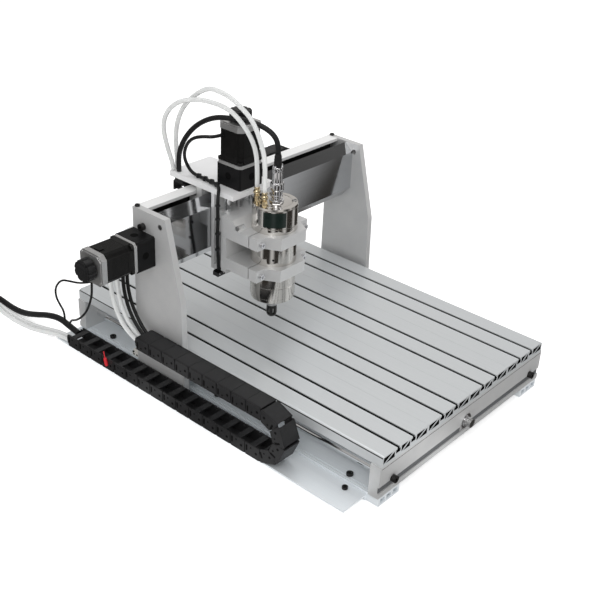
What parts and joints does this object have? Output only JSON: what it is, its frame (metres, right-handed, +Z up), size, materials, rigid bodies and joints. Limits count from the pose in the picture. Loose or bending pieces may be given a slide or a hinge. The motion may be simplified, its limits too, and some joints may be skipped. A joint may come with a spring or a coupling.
{
  "type": "cnc router",
  "caption": "Desktop gantry CNC router with a T-slot bed, leadscrew axes, stepper motors, a water-cooled spindle in a split clamp and drag chains.",
  "frame": {"origin": "middle of the machine's outline on the floor, cords aside", "axes": "+X across the bed to the right seen from the front, +Y along the bed from its front end to the motor end, +Z up"},
  "size_m": [0.68, 1.084, 0.5336],
  "materials": {
    "bed_aluminium": "extruded and brushed, lightly satin, with dark slots",
    "frame_silver": "fine matt silver-white coat",
    "rail_aluminium": "mill finish, slightly blue grey",
    "polished_cover": "bright rolled face",
    "ground_steel": "ground and hard chromed",
    "screw_steel": "turned, lightly oiled",
    "motor_black": "satin black",
    "bolt_black": "black oxide",
    "bolt_chrome": "bright",
    "spindle_steel": "polished, fine turned lines",
    "brass_fitting": "turned",
    "chain_black": "moulded, fine grain",
    "knob_black": "moulded, ribbed",
    "connector_white": "moulded",
    "hose_clear": "clear, slightly cloudy",
    "cable_black": "soft satin sheath"
  },
  "bodies": {
    "base": {"bed_panels": "bed_aluminium", "end_beams": "frame_silver", "foot_rails": "rail_aluminium", "cable_tray": "rail_aluminium", "base_screws": "bolt_black", "y_guide_shafts": "ground_steel", "y_screw_bearings": "screw_steel", "y_motor_housing": "motor_black", "y_motor": "motor_black", "terminal_blocks": "connector_white", "y_chain_lower": "chain_black", "outlet_lines": "cable_black", "outlet_coil": "cable_black"},
    "y_drive": {"y_screw": "screw_steel", "y_knob": "knob_black"},
    "gantry": {"left_gantry_plate": "frame_silver", "right_gantry_plate": "frame_silver", "gantry_beam": "frame_silver", "beam_cover": "polished_cover", "x_guide_shafts": "ground_steel", "x_screw_bearings": "screw_steel", "cross_plate": "rail_aluminium", "y_bearing_blocks": "rail_aluminium", "y_ball_nut": "screw_steel", "gantry_screws": "bolt_black", "x_motor_housing": "motor_black", "x_motor": "motor_black", "y_chain_upper": "chain_black", "x_chain_lower": "chain_black", "gantry_lines": "cable_black", "x_motor_lead": "cable_black"},
    "x_drive": {"x_screw": "screw_steel", "x_knob": "knob_black"},
    "x_carriage": {"x_bearing_block": "frame_silver", "x_ball_nut": "screw_steel", "x_carriage_plate": "frame_silver", "z_top_plate": "frame_silver", "z_bottom_plate": "frame_silver", "z_guide_shafts": "ground_steel", "z_motor_housing": "motor_black", "z_motor": "motor_black", "z_limit_switch": "chain_black", "x_chain_upper": "chain_black", "carriage_cables": "cable_black", "water_hoses": "hose_clear", "spindle_cable": "cable_black"},
    "z_drive": {"z_screw": "screw_steel", "z_knob": "knob_black"},
    "z_carriage": {"z_slide_plate": "frame_silver", "z_bearing_block": "frame_silver", "clamp_caps": "frame_silver", "clamp_bolts": "bolt_chrome", "spindle_body": "spindle_steel", "spindle_bearings": "screw_steel", "water_fittings": "brass_fitting", "cable_connector": "bolt_chrome"},
    "spindle_rotor": {"spindle_shaft": "screw_steel", "collet_nut": "motor_black"},
    "y_chain_loop": {"y_chain_bend": "chain_black"},
    "x_chain_loop": {"x_chain_bend": "chain_black"}
  },
  "joints": [
    {"name": "gantry_slide", "type": "slide", "parent": "base", "child": "gantry", "axis": [0, 1, 0], "range_m": [-0.395, 0.17], "deforming": ["y_chain_upper", "y_chain_lower", "x_motor_lead"]},
    {"name": "x_slide", "type": "slide", "parent": "gantry", "child": "x_carriage", "axis": [1, 0, 0], "range_m": [-0.084, 0.272], "deforming": ["x_chain_upper", "x_chain_lower"]},
    {"name": "z_slide", "type": "slide", "parent": "x_carriage", "child": "z_carriage", "axis": [0, 0, 1], "range_m": [-0.035, 0.026], "deforming": ["water_hoses", "spindle_cable"]},
    {"name": "spindle_spin", "type": "hinge", "parent": "z_carriage", "child": "spindle_rotor", "pos_m": [-0.029, -0.059, 0.177], "axis": [0, 0, 1], "continuous": true},
    {"name": "y_screw_spin", "type": "hinge", "parent": "base", "child": "y_drive", "pos_m": [0.063, 0.309, 0.043], "axis": [0, 1, 0], "continuous": true},
    {"name": "x_screw_spin", "type": "hinge", "parent": "gantry", "child": "x_drive", "pos_m": [-0.199, 0.085, 0.277], "axis": [1, 0, 0], "continuous": true},
    {"name": "z_screw_spin", "type": "hinge", "parent": "x_carriage", "child": "z_drive", "pos_m": [-0.029, 0.026, 0.364], "axis": [0, 0, 1], "continuous": true},
    {"name": "y_chain_roll", "type": "slide", "parent": "gantry", "child": "y_chain_loop", "axis": [0, 1, 0], "range_m": [-0.09, 0.2]},
    {"name": "x_chain_roll", "type": "slide", "parent": "x_carriage", "child": "x_chain_loop", "axis": [1, 0, 0], "range_m": [-0.14, 0.05]}
  ],
  "couplings": [
    {"joint": "y_screw_spin", "follows": "gantry_slide", "rad_per_m": -1256.6},
    {"joint": "x_screw_spin", "follows": "x_slide", "rad_per_m": -1256.6},
    {"joint": "z_screw_spin", "follows": "z_slide", "rad_per_m": -1570.8},
    {"joint": "y_chain_roll", "follows": "gantry_slide", "ratio": -0.5},
    {"joint": "x_chain_roll", "follows": "x_slide", "ratio": -0.5}
  ]
}
